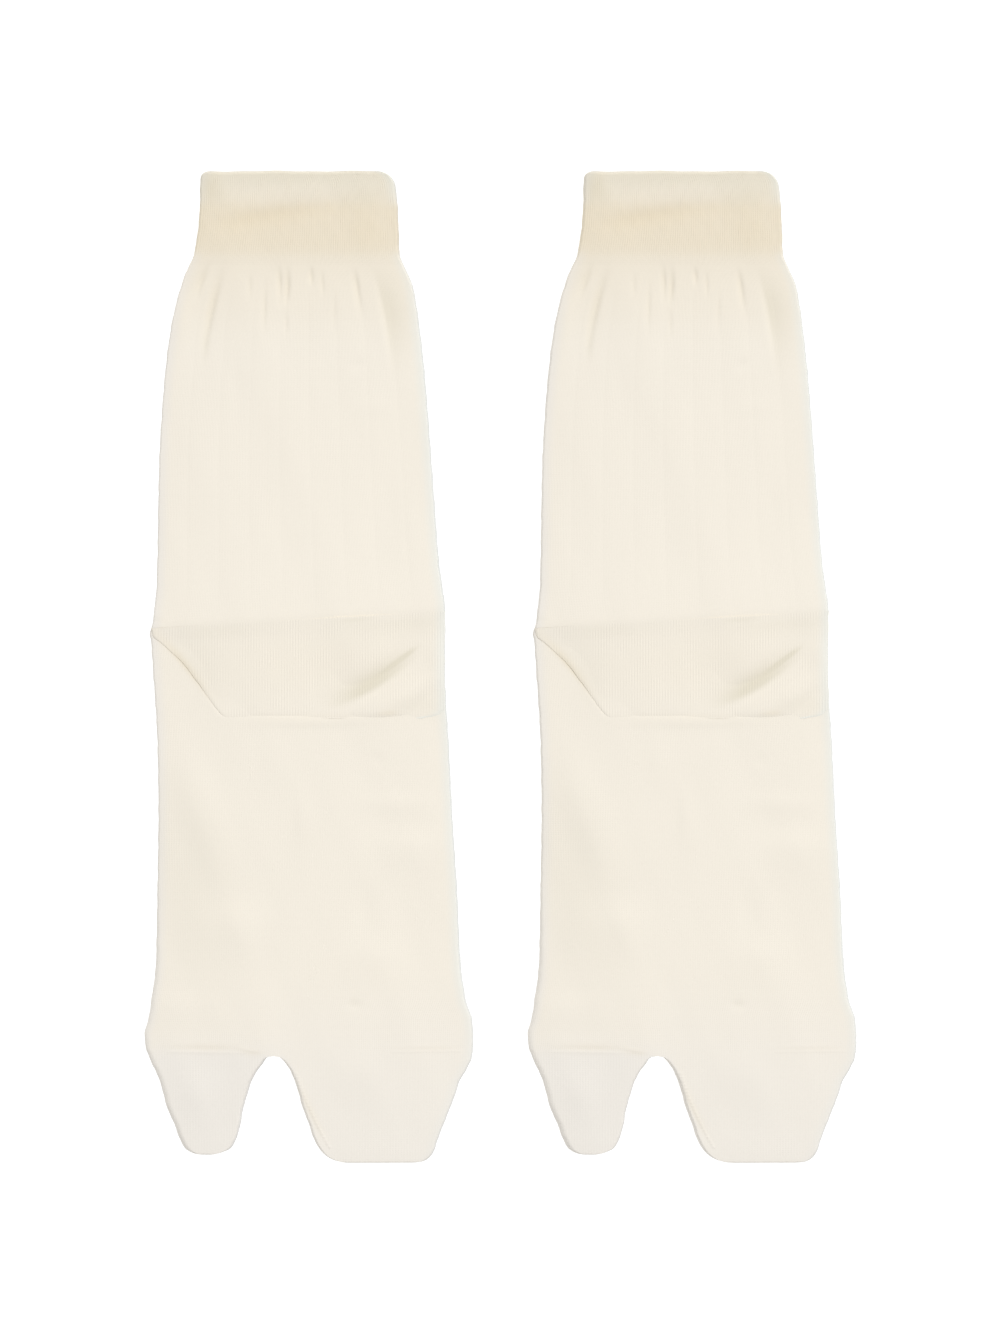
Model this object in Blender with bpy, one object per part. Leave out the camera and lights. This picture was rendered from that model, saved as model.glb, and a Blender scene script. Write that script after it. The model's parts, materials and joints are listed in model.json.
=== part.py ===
"""A pair of split-toe (tabi) socks, laid flat side by side with the heel side up.

Metres, +Z up, with the floor at z = 0. +Y runs from the toes to the cuffs and +X across the pair.
The origin is on the floor under the middle of the pair.

Each sock is a knitted tube pressed flat: its instep side lies on the floor and its sole side on top.
It is built as its knitted sections, and each is a closed wall of cloth round its own thin hollow:
    cuff      a turned, doubled welt in fine rib, open at the top
    leg       broad rib, gathered into the cuff
    heel      the heel's pocket, folded down over the sole, with a tuck along its right side
    foot      plain knit, wider towards the toes
    big_toe   the pocket of the big toe
    toes      the pocket of the other four toes
"""

import bmesh
import bpy
import numpy as np

MM = 0.001

# Driving sizes, in millimetres.
LENGTH = 357.0  # from the cuff's rim to the toe tips, as the sock lies
SPACING = 138.0  # between the middle lines of the two socks
CLOTH = 1.0  # one layer of knit
WELT = 2.0  # the cuff's two layers, turned and knitted together
SEAM = 0.3  # the gap that neighbouring sections keep
SLIT = 0.2  # the least height of a hollow

CUFF_RIBS = 88  # raised wales across the top of the cuff
CUFF_RIB_RISE = 0.25
LEG_RIB_RISE = 0.35
LEG_COLUMNS = 44  # mesh columns across the top of the leg
LEG_RIB_COLUMNS = 5  # columns from one groove between broad ribs to the next
FIRST_GROOVE = 4  # column of the groove nearest the left edge
RIB_FADE = 14.0  # the broad ribs sink into the heel line over this length
EDGE = 2.4  # width of the rounded edge where the flat tube turns under
ARC = 2  # steps in a quarter of that edge
RIM_ROUND = 0.9  # how far the cuff's turned rim goes towards a half round

CUFF_END = 34.0
HEEL_LINE = 161.3  # where the leg ends and the heel's pocket is folded over
TOE_LINE = 316.3  # where the two toe pockets start
HEEL_TILT = 6.0  # the heel line rises by this towards +X
TILT_REACH = 28.0  # and the tilt fades out this far above and below it
FLAP_LOW = 2.9  # underside of the folded heel pocket

# Outlines. Columns: distance down from the cuff's rim, left edge and right edge from the sock's
# middle line, and height of the upper side above the floor.
CUFF_ROWS = (
    (0.0, -37.8, 29.4, 4.6),
    (1.0, -38.5, 30.3, 4.6),
    (5.0, -38.9, 31.3, 4.6),
    (14.0, -39.2, 32.1, 4.5),
    (24.0, -40.2, 32.6, 4.5),
    (CUFF_END, -43.2, 34.3, 4.3),
)
LEG_ROWS = (
    (CUFF_END + SEAM, -43.3, 34.4, 4.3),
    (38.0, -45.4, 36.4, 4.1),
    (43.0, -47.0, 38.0, 3.8),
    (48.0, -48.4, 38.8, 3.5),
    (56.0, -49.9, 39.9, 3.1),
    (68.0, -51.5, 41.3, 2.8),
    (86.0, -53.1, 42.9, 2.7),
    (104.0, -54.1, 44.2, 2.7),
    (126.0, -54.4, 45.8, 2.7),
    (145.0, -54.7, 47.3, 2.9),
    (154.0, -55.6, 48.6, 3.8),
    (HEEL_LINE, -56.5, 49.3, 5.3),
)
HEEL_ROWS = (
    (HEEL_LINE + SEAM, -56.4, 49.0, 5.3),
    (165.0, -55.4, 49.0, 5.4),
    (170.5, -50.4, 48.9, 5.4),
    (176.0, -45.7, 48.9, 5.4),
    (184.7, -39.9, 48.9, 5.4),
    (190.0, -36.3, 48.8, 5.4),
    (193.4, -33.8, 47.8, 5.2),
    (194.8, -31.6, 45.6, 4.4),
)
FOOT_ROWS = (
    (HEEL_LINE + SEAM, -56.6, 49.3, 2.6),
    (168.0, -56.7, 49.3, 2.6),
    (180.0, -55.9, 49.1, 2.6),
    (192.0, -55.1, 49.5, 2.6),
    (205.0, -54.7, 50.4, 2.8),
    (230.0, -54.4, 51.6, 3.0),
    (260.0, -54.9, 53.4, 3.0),
    (285.0, -55.4, 54.6, 3.0),
    (298.0, -56.9, 56.4, 3.0),
    (306.0, -58.1, 58.9, 2.9),
    (311.0, -59.1, 59.2, 2.8),
    (TOE_LINE, -58.4, 59.1, 2.8),
)
BIG_TOE_ROWS = (
    (TOE_LINE + SEAM, -58.3, -12.7, 2.8),
    (318.6, -57.5, -12.9, 2.8),
    (319.6, -57.1, -14.9, 2.9),
    (321.6, -56.3, -16.7, 2.9),
    (324.5, -54.8, -18.9, 3.0),
    (330.0, -52.8, -21.2, 3.0),
    (336.0, -51.2, -23.2, 3.0),
    (342.0, -48.8, -24.5, 3.0),
    (347.0, -47.0, -25.7, 3.0),
    (350.5, -45.4, -27.2, 2.8),
    (352.4, -43.6, -29.4, 2.5),
    (353.5, -41.8, -32.4, 2.0),
    (354.2, -40.0, -34.4, 1.4),
)
TOES_ROWS = (
    (TOE_LINE + SEAM, -12.1, 59.0, 2.8),
    (318.6, -11.9, 58.8, 2.8),
    (319.6, -9.9, 58.5, 2.9),
    (321.6, -8.1, 57.5, 2.9),
    (324.5, -6.3, 56.1, 3.0),
    (330.0, -4.0, 53.3, 3.0),
    (336.0, -2.3, 51.4, 3.0),
    (342.0, -0.3, 49.0, 3.0),
    (348.0, 1.9, 46.7, 3.0),
    (352.0, 4.2, 45.1, 2.8),
    (354.6, 6.7, 43.7, 2.5),
    (356.2, 10.0, 41.6, 2.0),
    (LENGTH, 14.0, 38.0, 1.4),
)
TIP_RINGS = 2  # a closed pocket's last rings, past the end of its hollow

# Folds of the upper side, by where they lie once the sock is laid. Columns: x and distance down of
# one end and of the other, sideways bow, width on the side of smaller x and of larger x, place of the
# fullest point from 0 to 1, and height, where a trough is negative. Of a fold that runs across, the
# second width is on the cuff's side.
CUFF_FOLDS = (
    (-37.0, 18.0, 24.0, 8.0, 0.0, 2.5, 5.0, 0.4, -0.7),
    (-32.0, 25.0, 20.0, 22.0, 0.0, 4.0, 4.0, 0.5, 0.3),
)
LEG_FOLDS = (
    (-30.0, 32.0, -37.6, 70.0, -1.5, 1.8, 2.6, 0.35, -1.1),
    (-33.5, 33.0, -38.6, 47.0, -0.5, 1.6, 1.8, 0.40, -0.9),
    (-20.5, 34.0, -21.0, 48.0, 0.0, 1.6, 1.6, 0.40, -0.8),
    (-15.4, 34.0, -16.4, 63.0, 0.0, 1.6, 1.6, 0.30, -0.9),
    (-9.8, 33.0, -8.6, 50.0, 0.8, 1.8, 1.8, 0.45, -1.1),
    (1.2, 33.0, 1.4, 43.0, 0.0, 1.7, 1.7, 0.40, -0.8),
    (9.0, 34.0, 9.4, 46.0, 0.0, 1.6, 1.6, 0.40, -0.7),
    (16.4, 33.0, 19.4, 53.0, 0.0, 1.7, 1.7, 0.35, -0.9),
    (24.4, 32.0, 31.2, 74.0, 1.2, 1.9, 3.2, 0.40, -1.2),
    (-41.0, 40.0, -45.0, 64.0, 0.0, 3.0, 3.0, 0.40, 0.5),
    (-52.0, 161.5, 46.0, 158.0, 0.0, 2.5, 4.0, 0.5, 0.4),
)
HEEL_FOLDS = (
    (8.0, 196.0, 50.0, 168.0, 3.0, 11.0, 11.0, 0.5, 2.1),
    (11.0, 192.0, 41.0, 170.5, 0.8, 1.7, 4.4, 0.55, -2.6),
)
FOOT_FOLDS = (
    (-48.0, 206.0, -33.0, 266.0, 0.0, 6.0, 8.0, 0.5, -0.5),
    (-5.4, 216.0, -4.3, 250.0, 0.0, 3.0, 4.0, 0.5, -0.4),
    (12.0, 224.0, 47.0, 222.0, 0.0, 4.0, 4.0, 0.6, -0.3),
)


def smooth_rows(rows, at):
    """The rows' columns at each place `at` down the sock, on monotone cubics through the rows."""
    rows = np.asarray(rows, float)
    places, values = rows[:, 0], rows[:, 1:]
    step = np.diff(places)[:, None]
    slope = np.diff(values, axis=0) / step
    same_way = slope[1:] * slope[:-1] > 0
    both = np.where(same_way, slope[1:] + slope[:-1], 1.0)
    inner = np.where(same_way, 2 * slope[1:] * slope[:-1] / both, 0.0)
    tangent = np.vstack([slope[:1], inner, slope[-1:]]) if len(rows) > 2 else np.vstack([slope, slope])
    i = np.clip(np.searchsorted(places, at, side="right") - 1, 0, len(places) - 2)
    t = ((at - places[i]) / step[i, 0])[:, None]
    return (
        values[i] * (1 + 2 * t) * (1 - t) ** 2
        + values[i + 1] * t**2 * (3 - 2 * t)
        + step[i] * (tangent[i] * t * (1 - t) ** 2 - tangent[i + 1] * t**2 * (1 - t))
    )


def ease(t):
    """0 below 0, 1 above 1, and a smooth step between them."""
    t = np.clip(t, 0.0, 1.0)
    return t * t * (3 - 2 * t)


def fold_heights(folds, x, down):
    """Sum of the folds at each point: a bell across the fold's bowed line, swelling along it."""
    total = np.zeros(np.broadcast(x, down).shape)
    for x0, down0, x1, down1, bow, minus, plus, fullest, height in folds:
        run = np.hypot(x1 - x0, down1 - down0)
        along_x, along_down = (x1 - x0) / run, (down1 - down0) / run
        along = ((x - x0) * along_x + (down - down0) * along_down) / run
        across = (x - x0) * along_down - (down - down0) * along_x
        across = across - bow * 4 * along * (1 - along)
        swell = np.minimum(ease(along / fullest), ease((1 - along) / (1 - fullest)))
        total += height * swell * np.exp(-((across / np.where(across < 0, minus, plus)) ** 2))
    return total


def lie(x, down):
    """Y of a point on a sock: straight along it, but tilted near the heel line."""
    near = ease(1 - np.abs(down - HEEL_LINE) / TILT_REACH)
    return LENGTH / 2 - down + near * HEEL_TILT * x / (LEG_ROWS[-1][2] - LEG_ROWS[-1][1])


def loop_pattern(over, under):
    """Where a flattened loop's points lie: share of the flat stretch, share of the rounded edge and
    rise from -1 to 1, going over the top from the left edge in `over` spans and back in `under`."""
    turn = np.radians(np.linspace(0, 90, ARC + 1))
    out, up = np.cos(turn), np.sin(turn)
    over_flat, under_flat = np.arange(1, over) / over, np.arange(under - 1, 0, -1) / under
    flat = np.concatenate([0 * turn, over_flat, 1 + 0 * turn, 1 + 0 * turn[1:], under_flat, 0 * turn[1:]])
    edge = np.concatenate([-out, 0 * over_flat, out[::-1], out[1:], 0 * under_flat, -out[:0:-1]])
    rise = np.concatenate([up, 1 + 0 * over_flat, up[::-1], -up[1:], 0 * under_flat - 1, -up[:0:-1]])
    return flat, edge, rise


def surface(rows, over, under, low, inset, relief):
    """Points of one surface of a wall, a loop for each row, `inset` inside the rows' outline."""
    flat, edge, rise = loop_pattern(over, under)
    down, left, right, high = (rows[:, [i]] for i in range(4))
    left, right, bottom, top = left + inset, right - inset, low + inset, high - inset
    round_edge = EDGE - inset / 2
    x = left + round_edge + flat * (right - left - 2 * round_edge) + edge * round_edge
    y = lie(x, down)
    z = (bottom + top) / 2 + rise * (top - bottom) / 2
    z = z + np.clip(rise, 0, 1) * relief(x, LENGTH / 2 - y, flat)
    z = np.where(rise > 0, np.maximum(z, bottom + SLIT * rise), z)
    return np.stack([x, y, z], axis=-1)


def strip_faces(loops):
    """Quads that join each loop of point numbers to the next one."""
    beside = np.roll(loops, -1, axis=1)
    quads = np.stack([loops[:-1], beside[:-1], beside[1:], loops[1:]], axis=-1)
    return quads.reshape(-1, 4).tolist()


def rim_faces(outer, inner, over, under, inner_over):
    """Faces across a wall's rim: each span of the inner loop against the outer spans beside it."""
    spans = [1] * ARC + [over // inner_over] * inner_over + [1] * (2 * ARC + under + ARC)
    start = np.concatenate([[0], np.cumsum(spans)])
    faces = []
    for i, span in enumerate(spans):
        beside = [outer[(start[i] + k) % len(outer)] for k in range(span + 1)]
        faces.append([int(point) for point in (*beside, inner[(i + 1) % len(inner)], inner[i])])
    return faces


def round_rim(outer, inner, rings, middle, thickness, turned):
    """Draws a wall's two surfaces towards each other near its first rim, as cloth that turns over."""
    from_rim = np.clip((rings - rings[0]) / turned, 0, 1)[:, None]
    bend = thickness / 2 * (1 - np.sqrt(1 - (RIM_ROUND * (1 - from_rim)) ** 2))
    outer[..., 2] -= bend * np.sign(outer[..., 2] - middle)
    inner[..., 2] += bend * np.sign(inner[..., 2] - middle)


def no_relief(x, down, flat):
    return 0.0


def wall(
    name,
    outline,
    spans,
    rings,
    thickness=CLOTH,
    low=0.0,
    closed=False,
    coarse=no_relief,
    fine=no_relief,
    turned=0.0,
):
    """A flattened tube or pocket of cloth as one closed solid.

    `outline` is a table of rows and `rings` the places of its loops. `spans` counts the outer loop's
    spans over the top, the inner loop's, and both loops' underneath. `coarse` moves both surfaces of
    the upper layer and `fine` only the outer one. A rim is rounded over a length of `turned`.
    """
    over, inner_over, under = spans
    rings = np.asarray(rings, float)
    rows = np.column_stack([rings, smooth_rows(outline, rings)])
    hollow = rows[:-TIP_RINGS] if closed else rows

    def raised(x, down, flat):
        return coarse(x, down, flat) + fine(x, down, flat)

    outer = surface(rows, over, under, low, 0.0, raised)
    inner = surface(hollow, inner_over, under, low, thickness, coarse)
    if turned:
        round_rim(outer, inner, rings, (low + rows[0, 3]) / 2, thickness, turned)
    outer_loops = np.arange(outer[..., 0].size).reshape(outer.shape[:2])
    inner_loops = np.arange(inner[..., 0].size).reshape(inner.shape[:2]) + outer_loops.size
    faces = strip_faces(outer_loops) + strip_faces(inner_loops)
    faces += rim_faces(outer_loops[0], inner_loops[0], over, under, inner_over)
    if closed:
        faces += [outer_loops[-1].tolist(), inner_loops[-1].tolist()]
    else:
        faces += rim_faces(outer_loops[-1], inner_loops[-1], over, under, inner_over)
    points = np.concatenate([outer.reshape(-1, 3), inner.reshape(-1, 3)]) * MM
    return closed_mesh(name, points, faces)


def closed_mesh(name, points, faces):
    """A mesh of these points and faces with its normals pointing out, shaded smooth but for rims."""
    mesh = bpy.data.meshes.new(name)
    mesh.from_pydata(points.tolist(), [], faces)
    shell = bmesh.new()
    shell.from_mesh(mesh)
    bmesh.ops.recalc_face_normals(shell, faces=shell.faces)
    shell.to_mesh(mesh)
    shell.free()
    mesh.shade_smooth()
    mesh.set_sharp_from_angle(angle=np.radians(50))
    return mesh


def between(table, *counts):
    """Ring places: each interval of the table cut into its count of equal parts."""
    places = [row[0] for row in table]
    cut = [np.linspace(a, b, n, endpoint=False) for a, b, n in zip(places, places[1:], counts)]
    return np.concatenate([*cut, places[-1:]])


def cuff():
    """The doubled welt: fine ribs, a rounded rim at the top and one soft crease across it."""

    def ribs(x, down, flat):
        return CUFF_RIB_RISE * (np.round(flat * 2 * CUFF_RIBS) % 2)

    rings = between(CUFF_ROWS, 2, 1, 1, 1, 1)
    return wall(
        "cuff",
        CUFF_ROWS,
        (2 * CUFF_RIBS, 8, 8),
        rings,
        thickness=WELT,
        coarse=lambda x, down, flat: fold_heights(CUFF_FOLDS, x, down),
        fine=ribs,
        turned=CUFF_ROWS[1][0],
    )


def leg():
    """The leg's tube: flat broad ribs with a narrow groove between them, and gathers under the cuff."""

    def ribs(x, down, flat):
        column = np.round(flat * LEG_COLUMNS)
        on_rib = (column - FIRST_GROOVE) % LEG_RIB_COLUMNS > 0
        return LEG_RIB_RISE * on_rib * ease((HEEL_LINE - down) / RIB_FADE)

    rings = between(LEG_ROWS, 1, 1, 1, 2, 2, 2, 1, 1, 1, 1, 2)
    return wall(
        "leg",
        LEG_ROWS,
        (LEG_COLUMNS, LEG_COLUMNS // 4, LEG_COLUMNS // 4),
        rings,
        coarse=lambda x, down, flat: fold_heights(LEG_FOLDS, x, down),
        fine=ribs,
    )


def heel():
    """The heel's pocket, folded down on the sole: its left side is the slanting mitre, and on the
    right the pocket stays puffed, with a deep tuck along the mitre."""
    rings = between(HEEL_ROWS, 2, 2, 2, 3, 2, 1, 1)
    return wall(
        "heel",
        HEEL_ROWS,
        (36, 12, 12),
        rings,
        low=FLAP_LOW,
        closed=True,
        coarse=lambda x, down, flat: fold_heights(HEEL_FOLDS, x, down),
    )


def foot():
    """The foot's tube, plain under the sole, from below the folded heel to the toe pockets."""
    rings = between(FOOT_ROWS, 1, 1, 1, 2, 3, 3, 2, 1, 1, 1, 1)
    return wall(
        "foot",
        FOOT_ROWS,
        (24, 12, 12),
        rings,
        coarse=lambda x, down, flat: fold_heights(FOOT_FOLDS, x, down),
    )


def toe_pocket(name, rows, spans):
    """One pocket of the split toe, closed at its rounded tip."""
    return wall(name, rows, spans, [row[0] for row in rows], closed=True)


def knit(name, colour):
    """A matt knitted yarn as a plain Principled BSDF."""
    material = bpy.data.materials.new(name)
    material.use_nodes = True
    shader = material.node_tree.nodes["Principled BSDF"]
    shader.inputs["Base Color"].default_value = (*colour, 1.0)
    shader.inputs["Roughness"].default_value = 0.9
    shader.inputs["Metallic"].default_value = 0.0
    return material


def main():
    for old in list(bpy.data.objects):
        bpy.data.objects.remove(old, do_unlink=True)
    cream, elastic_cream = (0.88, 0.82, 0.72), (0.80, 0.71, 0.56)
    sections = {
        "cuff": (cuff(), elastic_cream),
        "leg": (leg(), cream),
        "heel": (heel(), cream),
        "foot": (foot(), cream),
        "big_toe": (toe_pocket("big_toe", BIG_TOE_ROWS, (10, 5, 5)), cream),
        "toes": (toe_pocket("toes", TOES_ROWS, (16, 8, 8)), cream),
    }
    for sock, side in (("sock_a", -0.5), ("sock_b", 0.5)):
        middle = bpy.data.objects.new(sock, None)
        bpy.context.scene.collection.objects.link(middle)
        middle.location.x = side * SPACING * MM
        for section, (mesh, colour) in sections.items():
            part = bpy.data.objects.new(f"{sock}_{section}", mesh.copy())
            part.data.materials.append(knit(f"{sock}_{section}", colour))
            part.parent = middle
            bpy.context.scene.collection.objects.link(part)


main()
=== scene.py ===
"""A pair of split-toe socks in cream knit, laid flat with the heel side up, on a lit white table.

Lengths are in millimetres until they reach a mesh, which is in metres. A place on a sock is given by
x, across the sock from its middle line, and by down, from the cuff's rim towards the toes.
"""

import json

import bpy
import numpy as np
from mathutils import Matrix, Vector


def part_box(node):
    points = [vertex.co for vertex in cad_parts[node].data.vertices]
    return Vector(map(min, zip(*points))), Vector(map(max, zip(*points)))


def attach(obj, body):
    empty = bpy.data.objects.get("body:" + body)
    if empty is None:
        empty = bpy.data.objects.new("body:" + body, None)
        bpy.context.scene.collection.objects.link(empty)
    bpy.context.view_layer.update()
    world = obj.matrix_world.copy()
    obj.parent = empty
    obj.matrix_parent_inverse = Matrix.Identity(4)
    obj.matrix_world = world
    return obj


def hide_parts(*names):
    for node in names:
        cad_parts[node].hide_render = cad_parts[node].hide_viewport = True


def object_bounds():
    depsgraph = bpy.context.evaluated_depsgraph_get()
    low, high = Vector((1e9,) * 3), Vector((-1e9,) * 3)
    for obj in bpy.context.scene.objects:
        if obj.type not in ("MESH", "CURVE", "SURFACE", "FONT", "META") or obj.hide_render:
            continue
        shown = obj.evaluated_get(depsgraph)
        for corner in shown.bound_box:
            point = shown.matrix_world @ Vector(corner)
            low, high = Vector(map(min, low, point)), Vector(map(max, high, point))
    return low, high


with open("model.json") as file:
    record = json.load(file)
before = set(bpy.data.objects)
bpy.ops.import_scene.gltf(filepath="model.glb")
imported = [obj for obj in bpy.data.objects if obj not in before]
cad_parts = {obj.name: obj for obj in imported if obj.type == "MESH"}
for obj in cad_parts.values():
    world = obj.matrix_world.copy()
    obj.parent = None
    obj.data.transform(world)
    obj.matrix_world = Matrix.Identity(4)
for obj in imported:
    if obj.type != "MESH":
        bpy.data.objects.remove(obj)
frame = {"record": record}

MM = 0.001
solid_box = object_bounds()
LENGTH = (solid_box[1].y - solid_box[0].y) / MM
RIM_Y = solid_box[1].y / MM

# ---------------------------------------------------------------------------------------------------
# Cloth and knit, in millimetres
# ---------------------------------------------------------------------------------------------------
CLOTH = 1.0  # one layer of knit
WELT = 1.4  # the cuff's turned and doubled cloth
WELT_HOLLOW = 0.5  # the slit between the cuff's two sides
FLAP_CLOTH = 0.15  # the heel pocket's cloth, pressed thin by the fold
FLAP_HOLLOW = 0.1
SLIT = 0.2  # the least height of a pressed hollow
WALES = 88  # stitch columns across one side of the tube, half of the machine's 176 needles
PLAIN_WALE = 1.12  # a stitch column in the heel and the toes, where the knit isn't stretched
COURSE = 0.8  # one row of stitches
CUFF_RIB_RISE = 0.09
RIB_PATCH, PATCH_WIDTH, PATCH_LENGTH = 0.7, 6.7, 13.0  # the ribs stand out more and less, in patches
PATCH_BEND, BEND_LENGTH = 0.3, 5.0  # which bend from side to side by this share of their width
PATCH_LEAN = 31.0  # and lie one length further up for each such stretch towards +X
CUFF_FADE = 8.0  # the fine ribs sink into the leg over this length
LEG_RIB_RISE = 0.09
LEG_COLUMNS = 44  # steps across the top of the leg, by which its broad ribs are set out
RIB_COLUMNS = 5  # steps from one groove between broad ribs to the next
FIRST_GROOVE = 4.5  # steps from the left edge to the first groove
RIB_START, RIB_FADE = 4.0, 14.0  # they start this far below the cuff, and rise and sink over this length
CROWN = 2.3  # the pressed tube is this much fuller along its top than near its edges
CROWN_TOP, CROWN_LEFT, CROWN_RIGHT = -16.0, 45.0, 80.0  # where that is, and how far it reaches
INNER_LOOPS = 12  # loops of a wall's plain inner surface
FINEST = 0.05  # loops are spaced out along places this far apart
LEAST_CLOTH = 0.1  # the upper side stays this far above the hollow in the deepest folds
WIDEST_ROUND = 0.45  # an edge rounds over within this share of the width at the most
FALL_SHARE = 0.2  # and the height falls towards it within this share of the stretch between
SHARP = np.radians(50)  # faces that meet at more than this are shaded as an edge
RIM_TURN = 1.5  # the cuff's rim rounds over within this length
RIM_ROUND = 0.8  # how far it goes towards a half round
TOE_EDGE, FLAP_EDGE = 0.6, 3.0  # the pockets' closed ends round over within these lengths
TIP_CLOTHS = 2.5  # and their hollows end this many times the cloth's thickness before them

CUFF_END = 34.0
HEEL_LINE = 161.3  # where the leg ends and the heel's pocket folds over
TOE_LINE = 316.3
HEEL_TILT = 6.0  # the heel line rises by this towards +X
TILT_REACH = 28.0  # which fades out this far above and below it
SIDE_REACH = 5.0  # the tone is painted greyer this far in from the side edges, as shade where the cloth turns away
SPLIT_X = -12.4  # the split between the toe pockets, whose seam dips towards it
SPLIT_DIP, SPLIT_WIDTH, SPLIT_REACH = 2.1, 5.0, 7.0  # by how much, how wide and how far down
SPLIT_BLEND = 16.0  # one side's tone changes to the other's within this width
RIM_WAVES = ((31.0, 0.15, 0.14), (13.0, 0.60, 0.07))  # length, phase in turns and height of each wave
WAVE_REACH = 16.0  # which fade out this far down
EDGE_WAVERS = ((9.7, 0.1, 0.06), (5.3, 0.4, 0.04), (3.1, 0.8, 0.02))  # the same, along the side edges
FLAP_LOW = 2.0  # underside of the folded heel pocket, where it presses the foot down
FLAP_SINK = 0.25  # by this much
SINK_OUT, SINK_SHORT, SINK_FADE = 1.0, 2.6, 2.0  # from outside the mitre to short of the hem, eased
LOOSE_X, LOOSE_DOWN, LOOSE_FADE = 20.0, 176.0, 10.0  # but not at the lower right, where it lies loosely
INNER_SINK = 0.35  # and by this much more inside
INNER_RIGHT, INNER_FADE = 47.0, 4.0  # from inside the mitre to this far right, eased
INNER_SHORT, INNER_HEM_FADE = 7.0, 3.0  # and to this far short of the hem, eased

# ---------------------------------------------------------------------------------------------------
# Outlines. Columns: down, left edge, right edge, height of the upper side.
# ---------------------------------------------------------------------------------------------------
HEEL_CREASE_ROWS = (
    (156.5, -55.8, 48.9, 3.2),
    (160.0, -56.2, 49.2, 3.32),
    (HEEL_LINE, -56.5, 49.3, 3.26),
    (162.7, -56.3, 49.2, 3.13),
    (164.5, -55.8, 49.2, 2.98),
)
TUBE_ROWS = (
    (0.0, -34.9, 25.0, 3.3),
    (0.3, -36.5, 26.6, 3.3),
    (0.8, -37.7, 27.9, 3.3),
    (1.5, -38.5, 29.1, 3.3),
    (2.6, -38.9, 30.2, 3.3),
    (5.2, -39.0, 31.4, 3.3),
    (14.0, -39.2, 32.2, 3.3),
    (24.0, -40.2, 32.6, 3.3),
    (30.0, -41.3, 32.9, 3.25),
    (CUFF_END, -42.9, 34.4, 3.15),
    (38.0, -44.8, 36.4, 3.0),
    (43.0, -46.4, 38.0, 2.85),
    (48.0, -47.8, 38.9, 2.7),
    (56.0, -49.5, 40.0, 2.5),
    (68.0, -51.2, 41.4, 2.35),
    (86.0, -52.8, 43.0, 2.2),
    (104.0, -53.8, 44.3, 2.2),
    (122.0, -54.2, 45.6, 2.25),
    (136.0, -54.4, 46.6, 2.45),
    (149.0, -54.8, 47.9, 2.88),
) + HEEL_CREASE_ROWS
HEEL_ROWS = HEEL_CREASE_ROWS + (
    (167.0, -53.2, 49.1, 2.82),
    (171.0, -49.3, 49.0, 2.72),
    (176.0, -45.0, 48.9, 2.66),
    (184.0, -39.6, 49.0, 2.60),
    (190.5, -35.2, 49.2, 2.50),
    (193.6, -33.0, 49.0, 2.42),
    (195.4, -31.6, 47.8, 2.34),
    (196.6, -30.2, 44.0, 2.22),
    (197.4, -28.0, 38.0, 2.14),
)
FOOT_ROWS = (
    (HEEL_LINE, -56.6, 49.3, 2.2),
    (163.4, -57.3, 49.3, 2.2),
    (166.0, -56.8, 49.3, 2.2),
    (180.0, -56.0, 49.2, 2.2),
    (192.0, -55.2, 49.6, 2.2),
    (205.0, -54.5, 50.5, 2.2),
    (230.0, -54.1, 51.7, 2.2),
    (260.0, -54.5, 53.6, 2.2),
    (285.0, -55.0, 54.8, 2.2),
    (298.0, -56.6, 56.6, 2.2),
    (306.0, -57.9, 59.0, 2.2),
    (311.0, -59.2, 59.4, 2.2),
    (TOE_LINE, -58.5, 59.2, 2.2),
)
BIG_TOE_ROWS = (
    (TOE_LINE, -58.5, -12.4, 2.2),
    (316.85, -58.3, -14.0, 2.2),
    (317.7, -57.9, -14.8, 2.2),
    (319.8, -57.1, -15.9, 2.2),
    (321.5, -56.5, -16.7, 2.2),
    (323.8, -55.2, -18.4, 2.2),
    (326.7, -53.9, -20.0, 2.2),
    (332.5, -52.3, -22.1, 2.2),
    (338.2, -50.6, -23.6, 2.2),
    (344.0, -48.0, -24.7, 2.2),
    (349.0, -46.2, -26.2, 2.2),
    (351.9, -44.5, -28.2, 2.15),
    (353.1, -42.7, -30.7, 2.1),
    (353.8, -41.0, -33.2, 2.0),
    (354.1, -39.4, -34.9, 1.9),
)
TOES_ROWS = (
    (TOE_LINE, -12.4, 59.2, 2.2),
    (316.85, -10.9, 59.2, 2.2),
    (317.7, -10.1, 59.1, 2.2),
    (319.8, -8.9, 58.7, 2.2),
    (321.5, -8.1, 57.8, 2.2),
    (323.8, -6.6, 56.7, 2.2),
    (326.7, -5.3, 54.9, 2.2),
    (332.5, -3.5, 52.8, 2.2),
    (338.2, -1.8, 50.7, 2.2),
    (344.0, 0.4, 48.3, 2.2),
    (349.0, 2.1, 46.5, 2.2),
    (351.9, 3.8, 45.5, 2.2),
    (354.3, 6.0, 44.3, 2.15),
    (355.7, 8.4, 43.0, 2.1),
    (356.6, 11.6, 41.0, 2.0),
    (LENGTH, 15.0, 37.6, 1.9),
)
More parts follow.
